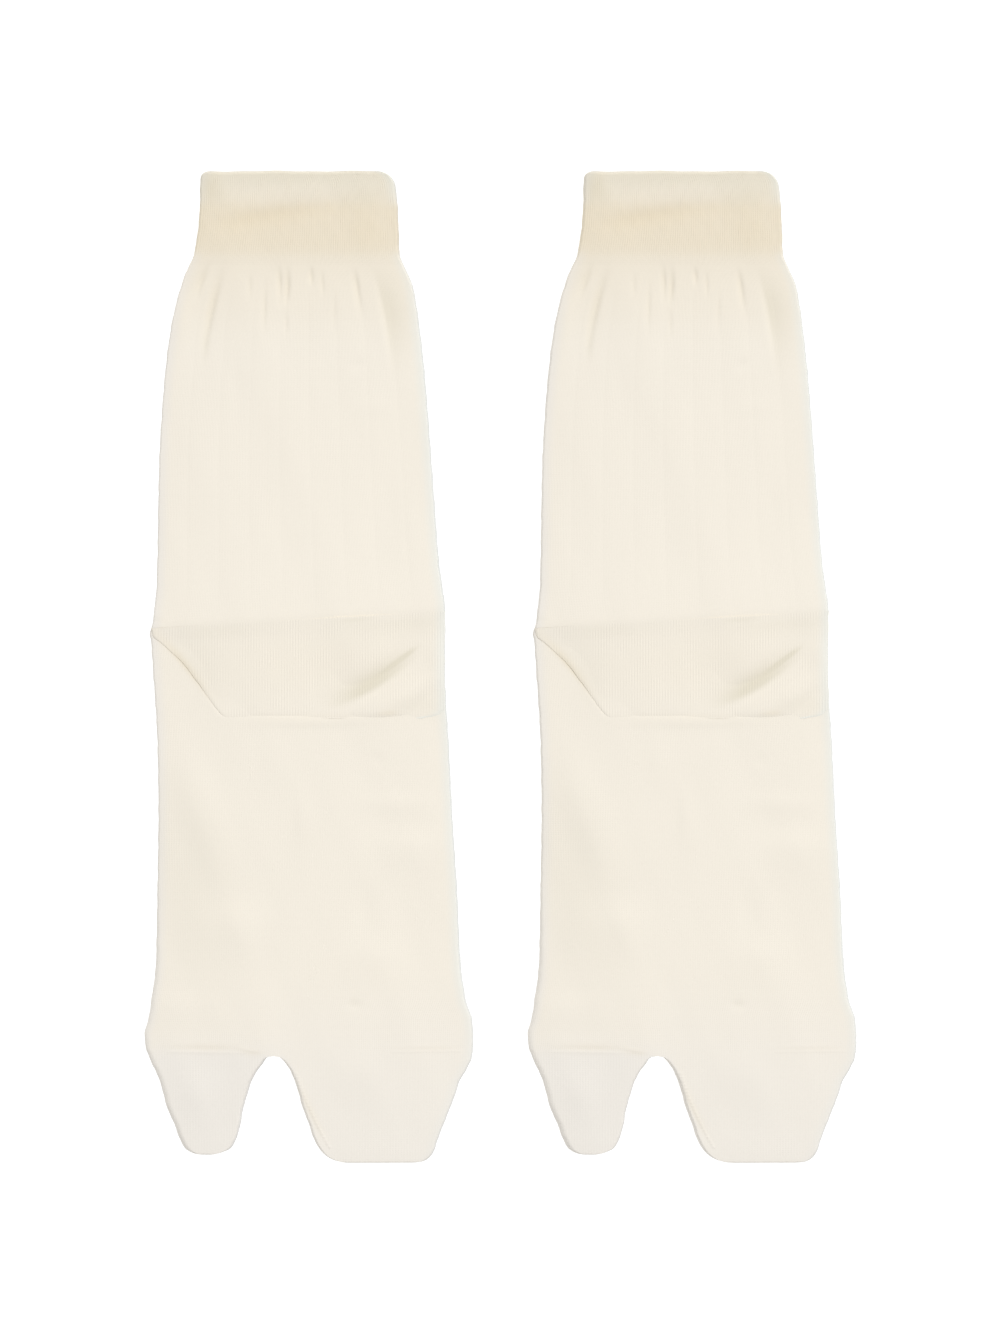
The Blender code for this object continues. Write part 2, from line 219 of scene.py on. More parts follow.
# How far in the cloth rounds over at the side edges, and by how much its height falls towards them.
# Columns: down, rounded on the left and right, fall on the left and right.
PLAIN_EDGES = (
    (0.0, 0.9, 1.0, 0.0, 0.0),
    (40.0, 0.7, 1.0, 0.0, 0.0),
    (250.0, 0.7, 1.0, 0.0, 0.0),
    (290.0, 1.8, 1.4, 0.0, 0.0),
    (LENGTH, 2.0, 1.4, 0.0, 0.0),
)
HEEL_EDGES = (
    (HEEL_LINE, 0.7, 1.0, 0.1, 0.0),
    (166.0, 1.4, 2.6, 0.30, 0.0),
    (172.0, 1.4, 5.0, 0.30, 0.0),
    (183.0, 1.4, 5.0, 0.30, 0.10),
    (189.0, 1.4, 7.0, 0.25, 0.20),
    (LENGTH, 1.4, 9.0, 0.20, 0.20),
)
BIG_TOE_EDGES = (
    (TOE_LINE, 2.0, 0.4, 0.0, 0.0),
    (323.0, 2.2, 1.2, 0.0, 0.0),
    (LENGTH, 2.2, 1.4, 0.0, 0.0),
)
TOES_EDGES = (
    (TOE_LINE, 0.4, 1.4, 0.0, 0.0),
    (323.0, 1.2, 1.4, 0.0, 0.0),
    (LENGTH, 1.2, 1.4, 0.0, 0.0),
)
# Share of the warmer elastic yarn. Columns: down, share.
ELASTIC_ROWS = (
    (0.0, 0.20),
    (5.0, 0.28),
    (10.0, 0.56),
    (15.0, 1.0),
    (25.0, 1.0),
    (28.4, 0.9),
    (32.0, 0.56),
    (35.6, 0.42),
    (43.0, 0.29),
    (50.0, 0.20),
    (57.0, 0.08),
    (66.0, 0.0),
    (LENGTH, 0.0),
)
# Share of the cooler tone. Columns: down, share towards the big toe, share on the other side.
COOL_ROWS = (
    (0.0, 0.0, 0.0),
    (285.0, 0.0, 0.0),
    (306.0, 0.12, 0.25),
    (313.0, 0.35, 0.38),
    (320.0, 0.95, 0.50),
    (LENGTH, 1.0, 0.75),
)

# ---------------------------------------------------------------------------------------------------
# Folds of the upper side, by where they lie once the sock is laid. Columns: x and down of one end and
# of the other, sideways bow, width on the side of smaller x (or nearer the toes) and on the other
# side, fullest point, height.
# ---------------------------------------------------------------------------------------------------
CUFF_FOLDS = (
    (-44.0, 21.0, 28.0, 9.8, 0.0, 3.4, 3.0, 0.36, -0.34),
    (-20.0, 9.5, 16.0, 5.5, 0.0, 4.0, 3.0, 0.5, 0.22),
)
GATHERS = (
    (-29.8, 33.0, -38.4, 73.0, -1.3, 1.7, 1.3, 0.40, -0.78),
    (-35.0, 32.0, -41.0, 48.0, -0.4, 1.5, 1.0, 0.50, -0.52),
    (-20.7, 36.0, -21.2, 48.0, 0.0, 1.1, 0.8, 0.45, -0.22),
    (-15.3, 37.0, -16.0, 62.0, 0.0, 1.1, 0.8, 0.50, -0.30),
    (-10.6, 33.0, -10.2, 51.0, 0.3, 1.1, 0.8, 0.40, -0.48),
    (-7.4, 33.0, -8.4, 51.0, 0.5, 1.3, 0.9, 0.50, -0.62),
    (-7.9, 48.0, -7.9, 62.0, 0.0, 1.0, 0.8, 0.50, -0.22),
    (1.1, 34.0, 1.2, 43.0, 0.0, 0.9, 0.8, 0.45, -0.41),
    (5.1, 35.0, 5.2, 47.0, 0.0, 0.9, 0.7, 0.50, -0.27),
    (9.6, 42.0, 9.0, 60.0, 0.0, 1.0, 0.8, 0.50, -0.19),
    (16.4, 34.0, 19.4, 55.0, 0.0, 1.3, 0.9, 0.35, -0.50),
    (23.0, 34.0, 31.0, 80.0, 1.8, 1.5, 8.0, 0.45, -0.48),
)
LEG_FOLDS = (
    (-26.0, 66.0, -25.0, 100.0, 0.0, 3.0, 3.0, 0.4, -0.16),
    (-44.0, 42.0, -47.0, 70.0, 0.0, 3.0, 3.0, 0.45, 0.35),
    (12.0, 86.0, 33.0, 84.0, 0.0, 3.0, 3.0, 0.5, 0.13),
    (16.0, 68.0, 20.0, 72.0, 0.0, 2.6, 2.6, 0.5, -0.19),
    (28.0, 92.0, 30.0, 140.0, 0.0, 4.0, 4.0, 0.5, -0.19),
)
HEEL_FOLDS = (
    (4.0, 186.0, 38.0, 162.0, 0.0, 9.0, 17.0, 0.5, 0.6),
    (4.0, 193.8, 42.0, 170.0, -2.8, 2.8, 4.4, 0.45, -0.90),
    (12.0, 198.0, 52.0, 176.0, -3.8, 3.5, 4.0, 0.60, 0.60),
    (40.0, 177.0, 56.0, 173.0, 0.0, 9.0, 6.0, 0.6, 0.5),
    (-33.0, 193.6, 38.0, 193.4, -0.6, 3.0, 5.0, 0.6, 0.08),
    (-10.0, 181.0, 20.0, 182.0, 0.0, 8.0, 6.0, 0.5, -0.10),
)
FOOT_FOLDS = (
    (-38.0, 197.6, 32.0, 197.2, -0.6, 2.2, 2.6, 0.6, 0.30),
    (-48.5, 200.0, -21.0, 270.0, -1.4, 7.0, 11.0, 0.45, 1.05),
    (-28.0, 258.0, -18.0, 292.0, 0.0, 6.0, 9.0, 0.4, 0.45),
    (-13.5, 197.0, -13.0, 228.0, 0.0, 4.0, 5.0, 0.5, 0.24),
    (-2.6, 218.0, -2.4, 248.0, 0.0, 2.2, 4.0, 0.5, 0.26),
    (10.0, 227.0, 50.0, 228.0, 0.0, 4.5, 3.5, 0.6, 0.32),
    (14.0, 244.5, 54.0, 243.0, 0.0, 9.0, 6.0, 0.6, 0.61),
    (20.5, 252.0, 19.5, 280.0, 0.0, 4.0, 5.0, 0.5, -0.42),
    (8.0, 284.0, 40.0, 283.0, 0.0, 11.0, 6.0, 0.5, 0.45),
    (-54.0, 272.0, -4.0, 271.0, 0.0, 12.0, 8.0, 0.5, 0.42),
    (-60.0, 302.0, -26.0, 300.0, 0.0, 6.0, 5.0, 0.4, 0.35),
    (16.6, 297.5, 16.6, 302.5, 0.0, 2.4, 2.4, 0.5, -0.25),
    (24.7, 208.0, 24.7, 216.0, 0.0, 2.6, 2.6, 0.5, -0.16),
    (4.0, 324.0, 32.0, 325.0, 0.0, 9.0, 7.0, 0.5, 0.42),
)
# The linked seam where the toe pockets start, sunk with a fine roll on its toe side.
TOE_LINE_FOLDS = (
    (-57.0, 314.2, -22.0, 314.6, 0.0, 0.8, 2.4, 0.6, 0.09),
    (-57.0, 316.8, -22.0, 317.2, 0.0, 0.8, 0.9, 0.6, 0.08),
    (-28.0, 314.6, -14.0, 317.0, -0.4, 0.7, 0.9, 0.5, 0.10),
    (20.0, 315.0, 58.0, 314.8, 0.0, 0.7, 0.9, 0.6, 0.05),
)
TOE_FOLDS = (
    (-52.0, 331.0, -28.0, 330.0, 0.0, 7.0, 9.0, 0.5, 0.35),
    (-41.0, 320.0, -37.0, 349.0, 0.0, 6.0, 6.0, 0.5, 0.25),
    (12.0, 328.0, 24.0, 354.0, 0.0, 7.0, 7.0, 0.5, -0.16),
    (34.0, 322.0, 33.0, 350.0, 0.0, 6.0, 6.0, 0.5, 0.12),
)
# Rows of linking stitches that show as beads. Columns: as far as the bow, then the bead's half width,
# the number of beads and their height.
LINKING = (
    (-4.4, 324.0, 8.0, 351.6, -0.9, 0.45, 22, 0.26),
    (30.0, 316.9, 55.0, 316.7, 0.0, 0.4, 19, 0.10),
    (-51.0, 316.9, -22.0, 317.2, 0.0, 0.4, 22, 0.07),
)
# Painted shade: where the cloth is painted warmer and deeper in tone, as the shade that falls in a crease.
# Columns as of the folds, with the share of the painted shade in place of the height.
SHADES = (
    (-60.0, 178.0, 70.0, 177.0, 0.0, 15.0, 15.0, 0.5, 0.24),
    (-44.0, 21.0, 28.0, 9.8, 0.0, 4.4, 2.8, 0.34, 0.62),
    (-40.0, 0.0, -31.0, 12.0, 0.0, 5.0, 5.0, 0.5, 0.35),
    (16.0, 10.0, 26.0, 32.0, 0.0, 6.0, 5.0, 0.5, 0.30),
    (-57.9, 163.6, -33.0, 193.6, 1.3, 1.2, 1.8, 0.45, 0.85),
    (-33.0, 196.8, 33.0, 196.0, 0.0, 1.5, 1.2, 0.5, 0.14),
    (22.0, 195.6, 34.0, 194.8, 0.0, 0.9, 1.2, 0.6, 0.45),
    (10.3, 191.8, 40.4, 170.8, -0.8, 1.8, 3.6, 0.4, 0.20),
    (-58.0, 315.2, -20.0, 315.6, 0.0, 1.2, 1.6, 0.6, 0.40),
    (-28.0, 315.4, -14.0, 317.6, -0.4, 1.2, 1.6, 0.6, 0.45),
    (28.0, 315.9, 57.0, 315.7, 0.0, 1.2, 1.4, 0.6, 0.20),
    (-6.0, 322.0, 8.6, 353.0, -0.9, 0.9, 1.6, 0.5, 0.50),
)
# The same without warmth, for a fold so deep that little light of any colour gets in, and for cloth
# that turns away from the light.
SHADOWS = (
    (-120.0, 1.5, 110.0, 1.5, 0.0, 6.0, 6.0, 0.5, 0.85),
    (-44.0, 0.0, -30.0, 12.0, 0.0, 6.0, 5.0, 0.5, 0.30),
    (-46.0, 9.0, -20.0, 11.0, 0.0, 4.5, 4.5, 0.4, 0.38),
    (5.0, 10.4, 37.0, 9.0, 0.0, 4.2, 4.5, 0.5, 0.44),
    (-41.0, 8.0, -41.0, 34.0, 0.0, 1.5, 4.0, 0.5, 0.30),
    (33.0, 2.0, 33.6, 34.0, 0.0, 3.0, 2.0, 0.5, 0.40),
    (-54.0, 164.0, -30.0, 197.0, 0.0, 1.0, 14.0, 0.5, 0.22),
    (-52.0, 198.0, -32.0, 310.0, 0.0, 14.0, 16.0, 0.5, 0.24),
    (3.6, 193.8, 42.0, 170.4, -2.9, 1.5, 4.2, 0.45, 1.15),
    (23.0, 183.4, 41.0, 170.0, 0.0, 0.7, 0.9, 0.66, 1.3),
    (7.0, 162.4, 28.0, 160.4, 0.0, 1.0, 0.8, 0.5, 0.35),
    (-50.0, 165.8, -8.0, 164.6, 0.0, 3.0, 1.6, 0.4, 0.16),
    (4.0, 165.0, 56.0, 161.4, 0.0, 5.0, 2.0, 0.6, 0.25),
    (24.0, 192.6, 54.0, 192.4, 0.0, 3.0, 4.0, 0.6, 0.28),
    (-36.0, 56.0, -37.0, 70.0, 0.0, 1.2, 1.2, 0.5, 0.25),
    (23.2, 32.0, 31.0, 76.0, 1.8, 1.0, 5.5, 0.35, 0.42),
    (15.2, 297.0, 18.0, 302.6, 0.0, 1.8, 1.8, 0.5, 0.15),
    (-58.0, 160.6, -50.0, 161.6, 0.0, 1.0, 1.0, 0.3, 0.30),
)
RIM_REACH = 1.0  # the right edge and the cuff's rim are painted greyer this far in, as shade where the cloth turns
GATHER_SHADE = 0.32  # the share of either painted shade in a gather, for each millimetre of depth
# A slow unevenness that all pressed cloth keeps. Columns: length of the wave across and its phase in
# turns, the same down the sock, height.
SWELLS = (
    (47.0, 0.10, 131.0, 0.30, 0.20),
    (29.0, 0.45, 83.0, 0.05, 0.13),
    (17.0, 0.70, 59.0, 0.60, 0.06),
    (11.0, 0.30, 23.0, 0.20, 0.02),
)


# ---------------------------------------------------------------------------------------------------
# Colours, among them painted shade, and how uneven the yarn is
# ---------------------------------------------------------------------------------------------------
COTTON = "#f2ebde"
ELASTIC = "#ebe0cb"
# Painted shade at the right side edge, greyer where the cloth turns away from the light.
RIGHT_EDGE_SHADE_TONE = "#ecebe3"
# The toe pockets' greyer yarn, also painted along the left side edge as shade.
TOE_YARN_AND_LEFT_SHADE = "#ede8e0"
# Painted shade: warm and deeper in creases; SHADOW is the same without warmth, for deep folds.
CREASE_SHADE_TONE = "#fbf8f1"
SHADOW = "#f2f2ed"
# Painted shade, greyer, at the right edge and along the cuff's rim.
RIM_SHADE_TONE = "#eceef3"
MEAN_TONE = 0.99
CLOUD, SLUB = 0.012, 0.02  # how much the yarn's slow clouds and its slubs change the tone
CLOUD_SCALE, SLUB_SCALE, OPEN_SCALE = 60.0, 700.0, 170.0  # how fine the noise of each is
OPEN_FROM, OPEN_TO = 0.35, 0.65  # this noise opens the knit, deepening the painted shade in its gaps, from not at all to twice as much
MEAN_LEG = 0.64  # the mean of a half wave, so that the gaps' shade leaves the mean tone as it is

# The floor, the light and the camera, in metres but for the gap between the floor and the socks.
FLOOR_REACH, FLOOR_GAP = 3, 0.1
TOWARDS_KEY = Vector((0.36, 0.60, 1.0))
CAMERA_HEIGHT = 1.336


# ---------------------------------------------------------------------------------------------------
# Form
# ---------------------------------------------------------------------------------------------------
def ease(t):
    """0 below 0, 1 above 1, and 3t^2 - 2t^3 between."""
    t = np.clip(t, 0.0, 1.0)
    return t * t * (3 - 2 * t)


def smooth_rows(rows, at):
    """The rows' columns at each place `at`: a cubic between neighbouring rows, whose slope at a row is
    the harmonic mean of the two chords, or 0 where they turn, so that no curve overshoots."""
    rows = np.asarray(rows, float)
    places, values = rows[:, 0], rows[:, 1:]
    step = np.diff(places)[:, None]
    slope = np.diff(values, axis=0) / step
    same_way = slope[1:] * slope[:-1] > 0
    both = np.where(same_way, slope[1:] + slope[:-1], 1.0)
    inner = np.where(same_way, 2 * slope[1:] * slope[:-1] / both, 0.0)
    tangent = np.vstack([slope[:1], inner, slope[-1:]])
    i = np.clip(np.searchsorted(places, at, side="right") - 1, 0, len(places) - 2)
    t = ((at - places[i]) / step[i, 0])[:, None]
    return (
        values[i] * (1 + 2 * t) * (1 - t) ** 2
        + values[i + 1] * t**2 * (3 - 2 * t)
        + step[i] * (tangent[i] * t * (1 - t) ** 2 - tangent[i + 1] * t**2 * (1 - t))
    )


def from_line(x0, down0, x1, down1, bow, x, down):
    """Share of the way along a bowed line, and the distance across from it, of each point. The line
    runs between two ends and swings out sideways by `bow` * 4 * along * (1 - along)."""
    run = np.hypot(x1 - x0, down1 - down0)
    along_x, along_down = (x1 - x0) / run, (down1 - down0) / run
    along = ((x - x0) * along_x + (down - down0) * along_down) / run
    across = (x - x0) * along_down - (down - down0) * along_x
    return along, across - bow * 4 * along * (1 - along)


def fold_heights(folds, x, down):
    """Sum over the folds of height * swell * exp(-(across / width)^2), where across is the distance
    from the fold's bowed line and swell eases from 0 at each end to 1 at its fullest point."""
    total = np.zeros(np.broadcast(x, down).shape)
    for *line, minus, plus, fullest, height in folds:
        along, across = from_line(*line, x, down)
        swell = np.minimum(ease(along / fullest), ease((1 - along) / (1 - fullest)))
        total += height * swell * np.exp(-((across / np.where(across < 0, minus, plus)) ** 2))
    return total


def bead_heights(lines, x, down):
    """Sum over the lines of height * exp(-(across / width)^2) * sin^2(pi * beads * along)."""
    total = np.zeros(np.broadcast(x, down).shape)
    for *line, width, beads, height in lines:
        along, across = from_line(*line, x, down)
        on_line = (along > 0) & (along < 1)
        total += on_line * height * np.exp(-((across / width) ** 2)) * np.sin(np.pi * beads * along) ** 2
    return total


def swell_heights(x, down):
    """Sum of height * sin(across) * sin(down), each a sine wave with its own length and phase."""
    return sum(
        height * np.sin(2 * np.pi * (x / across + turn)) * np.sin(2 * np.pi * (down / along + start))
        for across, turn, along, start, height in SWELLS
    )


def waver(waves, place):
    """Sum of sine waves along an edge."""
    return sum(height * np.sin(2 * np.pi * (place / length + phase)) for length, phase, height in waves)


def laid(x, down):
    """How far below the rim a point comes to lie: straight down the sock, but tilted near the heel
    line, drawn towards the toes at the split between them, and a little wavy at the rim."""
    near_heel = ease(1 - np.abs(down - HEEL_LINE) / TILT_REACH)
    heel_width = HEEL_ROWS[1][2] - HEEL_ROWS[1][1]
    near_split = ease(1 - np.abs(down - TOE_LINE) / SPLIT_REACH)
    dip = SPLIT_DIP * np.exp(-(((x - SPLIT_X) / SPLIT_WIDTH) ** 2)) * near_split
    wave = waver(RIM_WAVES, x) * ease(1 - down / WAVE_REACH)
    return down - near_heel * HEEL_TILT * x / heel_width + dip + wave


def crown(x):
    """The pressed tube's fullness: half a parabola on each side of its top."""
    reach = np.where(x < CROWN_TOP, CROWN_LEFT, CROWN_RIGHT)
    return CROWN * np.maximum(1 - ((x - CROWN_TOP) / reach) ** 2, 0.0)


def loop_pattern(over, under, arc):
    """Where the points of a pressed loop lie: share of the flat stretch from 0 to 1, share of the
    rounded edge, and rise from -1 underneath to 1 on top; the last point repeats the first."""
    turn = np.radians(np.linspace(0, 90, arc + 1))
    out, up = np.cos(turn), np.sin(turn)
    over_flat, under_flat = np.arange(1, over) / over, np.arange(under - 1, 0, -1) / under
    flat = np.concatenate([0 * turn, over_flat, 1 + 0 * turn, 1 + 0 * turn[1:], under_flat, 0 * turn])
    edge = np.concatenate([-out, 0 * over_flat, out[::-1], out[1:], 0 * under_flat, -out[::-1]])
    rise = np.concatenate([up, 1 + 0 * over_flat, up[::-1], -up[1:], 0 * under_flat - 1, -up[::-1]])
    return flat, edge, rise


def closing(distance, length):
    """Share of the full height at a distance from an end that rounds over within `length`."""
    return np.sqrt(1 - (1 - np.clip(distance / length, 0, 1)) ** 2)


def outer_surface(rows, at, pattern, edges, low, least, relief, folded_over, tip, tip_edge):
    """Points of the outside of a pressed tube, one loop for each place in `at`.

    x runs from the left edge to the right one, through a quarter ellipse at each; z is `low`
    underneath and the rows' height, with the crown and the relief, on top, but nowhere `least` or less
    above the underside. A pocket that is folded over lies on the crown of what is beneath. Towards a
    pocket's `tip` the height closes to a rounded edge, and without one the rim rounds over a little."""
    flat, edge, rise = pattern
    down = np.asarray(at, float)[:, None]
    left, right, top = smooth_rows(rows, np.asarray(at, float)).T[..., None]
    left, right = left + waver(EDGE_WAVERS, down), right + waver(EDGE_WAVERS, down + LENGTH)
    round_left, round_right, fall_left, fall_right = smooth_rows(edges, np.asarray(at, float)).T[..., None]
    round_left = np.minimum(round_left, WIDEST_ROUND * (right - left))
    round_right = np.minimum(round_right, WIDEST_ROUND * (right - left))
    across = right - round_right - left - round_left
    x = left + round_left + flat * across + edge * np.where(flat < 0.5, round_left, round_right)
    lies = laid(x, down)
    full = 1 - RIM_ROUND * (1 - closing(down, RIM_TURN)) if tip is None else closing(tip - down, tip_edge)
    fall = fall_left * (1 - ease(flat / FALL_SHARE)) + fall_right * (1 - ease((1 - flat) / FALL_SHARE))
    half = (top - fall - low) / 2
    lifted = np.clip(rise, 0, 1) ** 2 * (relief(x, lies, flat) + (0.0 if folded_over else crown(x)))
    z = low + half + full * (rise * half + lifted)
    z = np.where(rise > 0, np.maximum(z, low + least * rise * full), z)
    return np.stack([x, RIM_Y - lies, z + (crown(x) if folded_over else 0.0)], axis=-1)


def inner_surface(rows, at, pattern, low, thickness, hollow, folded_over):
    """Points of the plain hollow inside: `thickness` in from the outline and above the underside, and
    `hollow` high."""
    flat, edge, rise = pattern
    down = np.asarray(at, float)[:, None]
    left, right, _ = smooth_rows(rows, np.asarray(at, float)).T[..., None]
    left, right = left + thickness, right - thickness
    turn = np.minimum(thickness, WIDEST_ROUND * (right - left))
    x = left + turn + flat * (right - left - 2 * turn) + edge * turn
    z = low + thickness + hollow * (1 + rise) / 2 + (crown(x) if folded_over else 0.0 * x)
    return np.stack([x, RIM_Y - laid(x, down), z], axis=-1)


def mesh_of_grid(name, points, uv, fields, closes_along_line):
    """A closed mesh from a grid of points whose last column repeats the first: each cell is a quad.

    A tube's last row is joined to its first. A pocket closes along a line at both ends instead: there
    the points underneath are the same as the ones on top. `uv` has one more row than a tube's points."""
    rows, columns = points.shape[0], points.shape[1] - 1
    number = np.arange(rows * columns).reshape(rows, columns)
    if closes_along_line:
        column = np.arange(columns)
        on_top = np.minimum(column, (columns - column) % columns)
        number[[0, -1]] = number[[0, -1]][:, on_top]
    else:
        number = np.vstack([number, number[:1]])
    beside = np.roll(number, -1, axis=1)
    corners = [number[:-1], number[1:], beside[1:], beside[:-1]]
    quads = np.stack(corners, axis=-1).reshape(-1, 4)
    uv = uv[: len(number)]
    corner_uv = np.stack([uv[:-1, :-1], uv[1:, :-1], uv[1:, 1:], uv[:-1, 1:]], axis=2)
    used, quads = np.unique(quads, return_inverse=True)
    mesh = bpy.data.meshes.new(name)
    mesh.from_pydata(points[:, :-1].reshape(-1, 3)[used] * MM, [], quads.reshape(-1, 4))
    mesh.uv_layers.new(name="knit").data.foreach_set("uv", corner_uv.astype(np.float32).ravel())
    for field, values in fields.items():
        layer = mesh.attributes.new(field, "FLOAT", "POINT")
        layer.data.foreach_set("value", values[:, :-1].reshape(-1)[used].astype(np.float32))
    mesh.shade_smooth()
    mesh.set_sharp_from_angle(angle=SHARP)
    return mesh


def stitch_columns(points, rise, wale):
    """Which stitch column each point is in: counted from the left edge over the top, where columns
    are `wale` wide, or WALES of them fill the loop where it is None, and on round underneath."""
    x = points[..., 0]
    left, right = x.min(axis=1, keepdims=True), x.max(axis=1, keepdims=True)
    width = (right - left) / WALES if wale is None else wale
    start = left if wale is None else left.min()
    on_top = (x - start) / width
    underneath = rise < 0
    underneath[-1] = True
    return np.where(underneath, 2 * (right - start) / width - on_top, on_top)


def knit_wall(
    name, rows, places, spans, relief, edges=PLAIN_EDGES, tip=None, tip_edge=TOE_EDGE, low=0.0,
    thickness=CLOTH, hollow=SLIT, wale=None, open_knit=1.0,
):
    """One section of a sock as a closed wall of cloth: an inner surface with few rows, a rim, and an
    outer surface with a loop at each of `places`. UVs count stitch columns and rows, so that the knit
    follows the form. `spans` are the spans over the top, underneath and in a quarter of an edge."""
    pattern = loop_pattern(*spans)
    deepest = places[-1] if tip is None else tip - TIP_CLOTHS * thickness
    inside = np.linspace(deepest, places[0], INNER_LOOPS)
    folded_over = low > 0
    least = thickness + hollow + LEAST_CLOTH
    outer = outer_surface(rows, places, pattern, edges, low, least, relief, folded_over, tip, tip_edge)
    inner = inner_surface(rows, inside, pattern, low, thickness, hollow, folded_over)
    points = np.concatenate([inner, outer])
    down = np.concatenate([inside, places, inside[:1]])[:, None] + 0 * pattern[0]
    column = stitch_columns(points, pattern[2], wale)
    uv = np.stack([np.concatenate([column, column[:1]]), -down / COURSE], axis=-1)
    x, lies = points[..., 0], RIM_Y - points[..., 1]
    by_big_toe, by_toes = np.moveaxis(smooth_rows(COOL_ROWS, lies.ravel()).reshape(*lies.shape, 2), -1, 0)
    left, right = x.min(axis=1, keepdims=True), x.max(axis=1, keepdims=True)
    # Masks for the painted shade along the side edges, where the cloth turns away from the light.
    left_edge_shade_mask = 0 if folded_over else 1 - ease((x - left) / SIDE_REACH)
    right_edge_shade_mask = 1 - ease((right - x) / SIDE_REACH)
    elastic = smooth_rows(ELASTIC_ROWS, lies.ravel()).reshape(lies.shape)
    by_split = by_toes + (by_big_toe - by_toes) * ease((SPLIT_X - x) / SPLIT_BLEND + 0.5)
    gathers = -fold_heights(GATHERS, x, lies)
    # Colour fields: the elastic and toe yarn shares are the yarn's own colours; the rest is painted shade in
    # creases, deep folds, at the rim and along the side edges, and open scales the painted shade in the
    # knit's gaps.
    fields = {
        "elastic": elastic,
        "crease": fold_heights(SHADES, x, lies) + GATHER_SHADE * gathers,
        "shadow": fold_heights(SHADOWS, x, lies) + GATHER_SHADE * gathers,
        "rim": 0 * x if folded_over else 1 - ease(np.minimum(right - x, down[:-1]) / RIM_REACH),
        "open": 0 * x + open_knit,
        "right_edge_shade": (1 - elastic) * right_edge_shade_mask,
        "toe_yarn_and_left_shade": np.maximum(by_split, (1 - elastic) * left_edge_shade_mask),
    }
    return mesh_of_grid(name, points, uv, fields, closes_along_line=tip is not None)


def places_between(start, end, step, *finer):
    """Places down a section, `step` apart, or closer by the stated shares near some of them: each
    finer entry is (place, reach, share)."""
    fine = np.linspace(start, end, int((end - start) / FINEST))
    density = np.ones_like(fine)
    for place, near, share in finer:
        density = np.maximum(density, (1 / share) * (np.abs(fine - place) < near))
    count = np.concatenate([[0], np.cumsum((density[1:] + density[:-1]) / 2 * np.diff(fine))]) / step
    return np.interp(np.linspace(0, count[-1], int(np.ceil(count[-1])) + 1), count, fine)


# ---------------------------------------------------------------------------------------------------
# The relief of each section's upper side, as a function of x, of how far below the rim the point lies
# and of the share across the top
# ---------------------------------------------------------------------------------------------------
def cuff_relief(x, lies, share):
    """Fine ribs, one to each stitch column, each a raised cosine times 1 + RIB_PATCH * across * down,
    two sine waves, and the crease across the cuff."""
    across = np.sin(2 * np.pi * (x / PATCH_WIDTH + PATCH_BEND * np.sin(lies / BEND_LENGTH)))
    down = np.sin(2 * np.pi * (lies / PATCH_LENGTH + x / PATCH_LEAN))
    ribs = (0.5 - 0.5 * np.cos(2 * np.pi * share * WALES)) * (1 + RIB_PATCH * across * down)
    near = ease((CUFF_END - lies) / CUFF_FADE)
    return CUFF_RIB_RISE * ribs * near + fold_heights(CUFF_FOLDS + GATHERS, x, lies) + swell_heights(x, lies)


def leg_relief(x, lies, share):
    """Broad ribs, each 1 - |2u - 1|^3 over its width u, and the gathers below the cuff."""
    across_rib = (share * LEG_COLUMNS - FIRST_GROOVE) / RIB_COLUMNS % 1.0
    ribs = 1 - np.abs(2 * across_rib - 1) ** 3
    near = ease((lies - CUFF_END - RIB_START) / RIB_FADE) * ease((HEEL_LINE - lies) / RIB_FADE)
    return LEG_RIB_RISE * ribs * near + fold_heights(GATHERS + LEG_FOLDS, x, lies) + swell_heights(x, lies)


def heel_relief(x, lies, share):
    """The puffed right side, the tuck along the right mitre and the rolled lower edge."""
    return fold_heights(LEG_FOLDS + HEEL_FOLDS, x, lies) + swell_heights(x, lies)


def foot_relief(x, lies, share):
    """Broad soft troughs, the linked seam at the toes and the place pressed down by the heel pocket."""
    hem = HEEL_ROWS[-1][0]
    mitre = smooth_rows(HEEL_ROWS, np.clip(lies, HEEL_LINE, hem).ravel())[:, 0].reshape(lies.shape)
    under_flap = ease((x - mitre + SINK_OUT) / SINK_FADE)
    under_flap *= 1 - ease((lies - hem + SINK_SHORT) / SINK_FADE)
    under_flap *= 1 - ease((x - LOOSE_X) / LOOSE_FADE) * ease((lies - LOOSE_DOWN) / LOOSE_FADE)
    inside = ease((x - mitre - SINK_OUT) / INNER_FADE) * ease((INNER_RIGHT - x) / INNER_FADE)
    inside *= 1 - ease((lies - hem + INNER_SHORT) / INNER_HEM_FADE)
    folds = fold_heights(FOOT_FOLDS + TOE_LINE_FOLDS, x, lies) + bead_heights(LINKING, x, lies)
    return folds + swell_heights(x, lies) - FLAP_SINK * under_flap - INNER_SINK * inside


def toe_relief(x, lies, share):
    """The toe pockets' own folds, and the linking stitches of the seams."""
    folds = fold_heights(FOOT_FOLDS + TOE_LINE_FOLDS + TOE_FOLDS, x, lies)
    return folds + bead_heights(LINKING, x, lies) + swell_heights(x, lies)


# ---------------------------------------------------------------------------------------------------
# Materials
# ---------------------------------------------------------------------------------------------------
def linear(colour):
    """A colour written as sRGB hex, as linear RGBA."""
    part = np.array([int(colour[i : i + 2], 16) for i in (1, 3, 5)]) / 255
    part = np.where(part <= 0.04045, part / 12.92, ((part + 0.055) / 1.055) ** 2.4)
    return (*part.tolist(), 1.0)


def add(tree, kind, inputs, **settings):
    """Adds a node with its settings; an input is given a value, or linked where that is a socket."""
    made = tree.nodes.new(kind)
    for setting, value in settings.items():
        setattr(made, setting, value)
    for name, value in inputs.items():
        if isinstance(value, bpy.types.NodeSocket):
            tree.links.new(value, made.inputs[name])
        else:
            made.inputs[name].default_value = value
    return made


